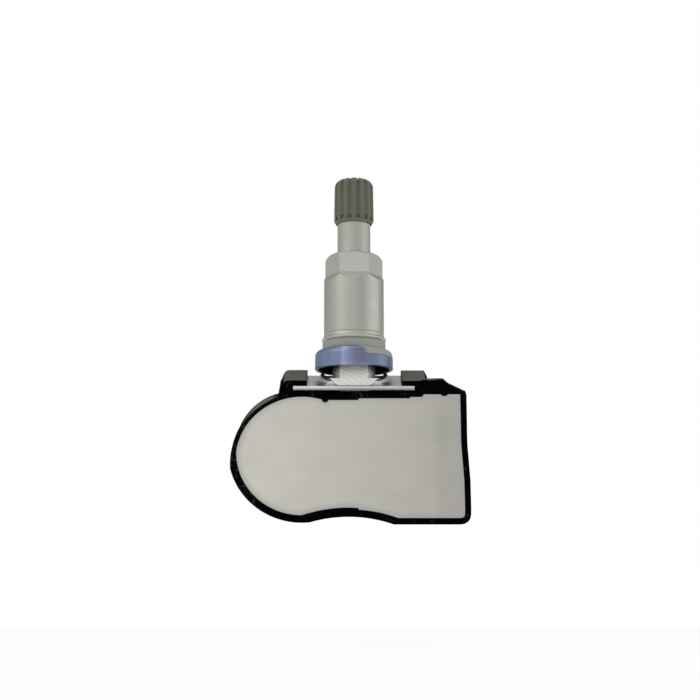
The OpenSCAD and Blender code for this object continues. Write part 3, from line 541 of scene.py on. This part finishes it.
def potting_face():
    """Y of the potting's face in the sensor's frame, and the face's outline as X and Z, in millimetres."""
    source = bmesh.new()
    source.from_mesh(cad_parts["potting"].data)
    source.transform(SENSOR.inverted() @ Matrix.Scale(1 / MM, 4))
    bmesh.ops.remove_doubles(source, verts=source.verts[:], dist=0.0005)
    face_y = min(vert.co.y for vert in source.verts)
    other = [face for face in source.faces if any(abs(v.co.y - face_y) > 0.01 for v in face.verts)]
    bmesh.ops.delete(source, geom=other, context="FACES")
    edges = [edge for edge in source.edges if edge.is_boundary]
    start = edges[0].verts[0]
    loop, vert = [start], edges[0].verts[1]
    while vert != start:
        loop.append(vert)
        onward = [e.other_vert(vert) for e in vert.link_edges if e.is_boundary]
        vert = onward[0] if onward[0] != loop[-2] else onward[1]
    outline = [(v.co.x, v.co.z) for v in loop]
    source.free()
    area = sum(a[0] * b[1] - b[0] * a[1] for a, b in zip(outline, outline[1:] + outline[:1]))
    if area < 0:
        outline.reverse()
    return face_y, outline


def even_steps(outline):
    """The outline in even steps, so that it can be smoothed."""
    points = []
    for a, b in zip(outline, outline[1:] + outline[:1]):
        count = max(1, round(math.dist(a, b) / OUTLINE_STEP))
        points += [(a[0] + (b[0] - a[0]) * i / count, a[1] + (b[1] - a[1]) * i / count)
                   for i in range(count)]
    return points


def softened(row, rounds):
    """A closed row of points after so many rounds of smoothing."""
    for _ in range(rounds):
        row = [tuple((row[i - 1][k] + 2 * row[i][k] + row[(i + 1) % len(row)][k]) / 4 for k in (0, 1))
               for i in range(len(row))]
    return row


# Operators


class PieceOperator(Operator):
    """Base of the steps, each of which can be undone"""
    bl_options = {"REGISTER", "UNDO"}


class SENSOR_OT_camera(PieceOperator):
    """Sets the camera at the photograph's viewing angle"""
    bl_idname = "pressure_sensor.camera"
    bl_label = "Camera"

    def execute(self, context):
        stage = context.scene.sensor_stage
        data = bpy.data.cameras.new("photo_camera")
        data.lens = stage.lens
        data.sensor_width = 36.0
        data.clip_start, data.clip_end = 0.01, 10.0
        cam = bpy.data.objects.new("photo_camera", data)
        cam.location = CAMERA_SPOT * MM
        cam.rotation_euler = Euler((math.radians(90) + stage.pitch, 0, 0))
        context.scene.collection.objects.link(cam)
        context.scene.camera = cam
        return {"FINISHED"}


class SENSOR_OT_stage(PieceOperator):
    """Lays a pale floor and hangs soft studio lights"""
    bl_idname = "pressure_sensor.stage"
    bl_label = "Stage"

    def execute(self, context):
        stage = context.scene.sensor_stage
        context.scene.view_settings.view_transform = "Standard"
        world = bpy.data.worlds.new("soft_room")
        context.scene.world = world
        world.use_nodes = True
        world.node_tree.nodes.clear()
        # walls of a soft room: a pale card on the left, a darker gap in front on the right, a window beyond
        way = add(world, "SeparateXYZ", add(world, "TexCoord").outputs["Generated"]).outputs
        back = add(world, "Math", way["Y"], -1.0, operation="MULTIPLY")
        turn = add(world, "Math", way["X"], back, operation="ARCTAN2")
        part = add(world, "Math", turn, 2 * math.pi, operation="DIVIDE")
        walls = graded(world, add(world, "Math", part, 0.5, operation="ADD"), WALLS)
        rise = add(world, "MapRange", way["Z"], -0.2, 0.9, 0.95, 0.8)
        level = add(world, "Math", add(world, "Math", walls, rise, operation="MULTIPLY"), stage.world,
                    operation="MULTIPLY")
        room = add(world, "Background", paint("#ffffff"), level)
        white = add(world, "Background", paint("#ffffff"), 1.0)
        seen = add(world, "LightPath").outputs["Is Camera Ray"]
        add(world, "OutputWorld", add(world, "MixShader", seen, room, white))
        bm = bmesh.new()
        bmesh.ops.create_circle(bm, cap_ends=True, segments=96, radius=FLOOR_R)
        bm.transform(Matrix.Translation((0, 0, stage.floor_z / MM)))
        bm.transform(Matrix.Scale(MM, 4))
        mesh = bpy.data.meshes.new("floor")
        bm.to_mesh(mesh)
        bm.free()
        floor = bpy.data.objects.new("floor", mesh)
        context.scene.collection.objects.link(floor)
        # the floor looks white to the camera, and keeps only the shadow that falls on its diffuse share
        mat, shader = new_material("pale_floor", "#f4f4f2", Roughness=0.7)
        seen = add(mat, "LightPath").outputs["Is Camera Ray"]
        level = add(mat, "MapRange", seen, 0.0, 1.0, stage.bounce, FLOOR_WHITE)
        glow = add(mat, "Emission", paint("#ffffff"), level)
        both = add(mat, "MixShader", FLOOR_SHARE, shader, glow)
        below = add(mat, "NewGeometry").outputs["Backfacing"]
        last = add(mat, "MixShader", below, both, add(mat, "BsdfTransparent"))
        link(mat, last, mat.node_tree.nodes["Material Output"].inputs["Surface"])
        mesh.materials.append(mat)
        for name, power, size, spot, tint in (
                ("key", stage.key, 0.6, (-0.5, -0.4, 0.42), "#fffdf8"),
                ("fill", stage.fill, 0.6, (0.5, -0.45, 0.1), "#fbfdff"),
                ("top", stage.key * 0.7, 0.5, (-0.05, 0.05, 0.65), "#ffffff")):
            light = bpy.data.lights.new(name, "AREA")
            light.energy, light.size, light.color = power, size, linear(tint)
            lamp = bpy.data.objects.new(name, light)
            lamp.location = spot
            # each lamp looks at the middle of the grommet's seat
            lamp.rotation_euler = (-Vector(spot)).to_track_quat("-Z", "Y").to_euler()
            context.scene.collection.objects.link(lamp)
        return {"FINISHED"}


class SENSOR_OT_valve(PieceOperator):
    """Finishes the stem, nut, washer, grommet, seat ring and cap"""
    bl_idname = "pressure_sensor.valve"
    bl_label = "Valve finishes"

    def execute(self, context):
        tones = context.scene.sensor_colours
        # the foot's flats are cross-milled, and so are the hexagon's, but lightly
        foot_marks = cutter_marks((0.5, 0.87), pitch=0.8, low=-7.0, high=-0.8, depth=1.3, wander=1.8)
        # painted light: the foot's flats are painted near white, as if lit from the front
        foot_flats_painted_light = paint("#fafaf6"), facing_flat(low=-8.0, high=-0.4)
        hex_marks = cutter_marks((0.0, 1.0), pitch=0.6, low=20.4, high=23.4, depth=1.25, wander=0.3)
        hex_flats = paint("#cfd0c9"), whole(low=18.9, high=26.0)
        paler = [c * 1.07 for c in tones.aluminium]
        stem = turned_aluminium("satin_aluminium_stem", tones.aluminium, 0.4, foot_marks, foot_flats_painted_light)
        nut = turned_aluminium("satin_aluminium_nut", tones.aluminium, 0.4, hex_marks, hex_flats)
        dress(stem, "valve_stem")
        dress(nut, "collar_nut")
        dress(turned_aluminium("satin_aluminium_washer", paler, 0.42), "nut_washer")
        dress(moulded_grey_rubber(tones), "grommet")
        dress(blue_passivated_zinc(tones), "seat_ring")
        dress(moulded_olive_nylon(tones), "valve_cap")
        return {"FINISHED"}


class SENSOR_OT_threads(PieceOperator):
    """Winds the threads of the stem, cap and nut"""
    bl_idname = "pressure_sensor.threads"
    bl_label = "Threads"

    def execute(self, context):
        sizes = context.scene.sensor_sizes
        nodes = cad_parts
        # the inner ridges start half a pitch above the stem's, so that they lie between them
        for name, owner, body, slot, *ridge_sizes in (
                ("cap_thread", "valve_stem", "valve", "stem_metal",
                 sizes.cap_pitch, 3.36, 3.8, 31.3, 38.4, 0.4, 0.0),
                ("nut_thread", "valve_stem", "valve", "stem_metal",
                 sizes.nut_pitch, 3.72, 4.3, 8.6, 19.5, 0.42, 0.0),
                ("cap_inner_thread", "valve_cap", "cap", "cap_plastic",
                 sizes.cap_pitch, 3.88, 3.5, 31.3, 37.7, 0.3, 0.5),
                ("nut_inner_thread", "collar_nut", "nut", "nut_metal",
                 sizes.nut_pitch, 4.4, 3.9, 8.6, 19.6, 0.3, 0.5)):
            bm = bmesh.new()
            ridge(bm, *ridge_sizes)
            finish_piece(name, bm, nodes[owner].data.materials[0], body)
        return {"FINISHED"}


class SENSOR_OT_sensor(PieceOperator):
    """Finishes the bracket, its screw, the housing and the potting"""
    bl_idname = "pressure_sensor.sensor"
    bl_label = "Sensor finishes"

    def execute(self, context):
        tones = context.scene.sensor_colours
        dress(zinc_plated_steel(tones), "bracket", "foot_screw")
        dress(moulded_black_nylon(tones), "housing")
        dress(cast_polyurethane(tones), "potting")
        return {"FINISHED"}


class SENSOR_OT_meniscus(PieceOperator):
    """Lets the potting climb the rim in a thin curved edge"""
    bl_idname = "pressure_sensor.meniscus"
    bl_label = "Meniscus"

    def execute(self, context):
        sizes = context.scene.sensor_sizes
        face_y, outline = potting_face()
        points = even_steps(outline)
        total = len(points)
        inward = []
        for i in range(total):
            dx = points[(i + 1) % total][0] - points[i - 1][0]
            dz = points[(i + 1) % total][1] - points[i - 1][1]
            span = math.hypot(dx, dz) or 1.0
            inward.append((-dz / span, dx / span))
        inward = softened(inward, INWARD_ROUNDS)
        # share of the way in, and rounds of smoothing, so that the inner rows round off the rim's bites
        rows = [(0.0, 0), (0.12, 2), (0.3, 6), (0.55, 14), (0.8, 24), (1.0, 36)]
        bm = bmesh.new()
        climb = bm.verts.layers.float.new("climb")
        rings = []
        for share, rounds in rows:
            line = softened(points, rounds)
            ring = []
            for (x, z), (nx, nz) in zip(line, inward):
                # it starts just clear of the rim and ends just below the compound's face
                deep = share * sizes.meniscus_width + RIM_GAP
                rise = sizes.meniscus * (1 - share) ** 2 - FACE_DIP * share
                vert = bm.verts.new((x + nx * deep, face_y - rise, z + nz * deep))
                vert[climb] = (1 - share) ** 1.5
                ring.append(vert)
            rings.append(ring)
        # the back of the edge lies inside the compound
        for row in (rings[-1], rings[0]):
            rings.append([bm.verts.new((v.co.x, face_y + SUNK, v.co.z)) for v in row])
        rings.append(rings[0])
        for a, b in zip(rings, rings[1:]):
            for i in range(total):
                bm.faces.new((a[i], a[(i + 1) % total], b[(i + 1) % total], b[i]))
        bmesh.ops.recalc_face_normals(bm, faces=bm.faces[:])
        bm.transform(SENSOR)
        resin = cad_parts["potting"].data.materials[0]
        finish_piece("potting_meniscus", bm, resin, "sensor")
        return {"FINISHED"}


class SENSOR_OT_inside(PieceOperator):
    """Finishes the core, the electronics and the other inner parts"""
    bl_idname = "pressure_sensor.inside"
    bl_label = "Inner finishes"

    def execute(self, context):
        # name of the finish, colour, metal or not, roughness, grain to the millimetre, nodes
        for name, code, metal, rough, scale, nodes in (
                ("nitrile_rubber", "#26282a", 0, 0.6, 5, ("cap_seal", "core_cup")),
                ("turned_brass", "#d9bb62", 1, 0.3, 4, ("core_plug", "core_barrel", "core_pin")),
                ("red_seal_rubber", "#b5443a", 0, 0.5, 5, ("core_gasket",)),
                ("drawn_spring_wire", "#b4b4ae", 1, 0.28, 6, ("core_spring",)),
                ("solder_mask_board", "#2f6b45", 0, 0.35, 3, ("circuit_board",)),
                ("nickel_plated_can", "#c4c6c6", 1, 0.26, 2,
                 ("battery", "tab_front", "tab_back", "crystal")),
                ("sintered_ferrite", "#3a3d40", 0, 0.6, 5, ("lf_core",)),
                ("enamelled_copper", "#c06a38", 1, 0.32, 8, ("lf_winding",)),
                ("brass_strip", "#d0ae72", 1, 0.3, 4, ("rf_antenna",)),
                ("moulded_package", "#1f2022", 0, 0.5, 6, ("sensor_chip",)),
                ("silicone_seal", "#3b4a3e", 0, 0.55, 5, ("port_seal",)),
                ("white_membrane", "#e4e4df", 0, 0.8, 9, ("port_filter",)),
                ("fired_ceramic", "#8a7358", 0, 0.5, 6, ("capacitors",))):
            mat, shader = new_material(name, code, Metallic=metal, Roughness=rough)
            grain = add(mat, "TexNoise", Vector=place(mat), Scale=float(scale), Detail=3.0)
            worn(mat, shader, 0.08, grain, 0.15)
            dress(mat, *nodes)
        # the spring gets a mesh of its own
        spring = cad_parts["core_spring"]
        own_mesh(spring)
        return {"FINISHED"}


class SENSOR_PT_panel(Panel):
    """Lists the steps in the order in which they run"""
    bl_idname = "SENSOR_PT_panel"
    bl_label = "Tyre Pressure Sensor"
    bl_space_type = "VIEW_3D"
    bl_region_type = "UI"
    bl_category = "Sensor"

    def draw(self, context):
        for kind in STEPS:
            self.layout.operator(kind.bl_idname)
        for group in (context.scene.sensor_colours, context.scene.sensor_sizes, context.scene.sensor_stage):
            column = self.layout.column()
            for key in group.__annotations__:
                column.prop(group, key)


STEPS = (SENSOR_OT_camera, SENSOR_OT_stage, SENSOR_OT_valve, SENSOR_OT_threads, SENSOR_OT_sensor,
         SENSOR_OT_meniscus, SENSOR_OT_inside)
CLASSES = (SensorColours, SensorSizes, SensorStage, *STEPS, SENSOR_PT_panel)


def register():
    """Registers the add-on and hangs its values on the scene."""
    for kind in CLASSES:
        bpy.utils.register_class(kind)
    bpy.types.Scene.sensor_colours = PointerProperty(type=SensorColours)
    bpy.types.Scene.sensor_sizes = PointerProperty(type=SensorSizes)
    bpy.types.Scene.sensor_stage = PointerProperty(type=SensorStage)


def unregister():
    """Takes the add-on away again."""
    del bpy.types.Scene.sensor_stage
    del bpy.types.Scene.sensor_sizes
    del bpy.types.Scene.sensor_colours
    for kind in reversed(CLASSES):
        bpy.utils.unregister_class(kind)


def main():
    """Runs every step."""
    register()
    for kind in STEPS:
        module, name = kind.bl_idname.split(".")
        getattr(getattr(bpy.ops, module), name)()


if __name__ == "__main__":
    main()
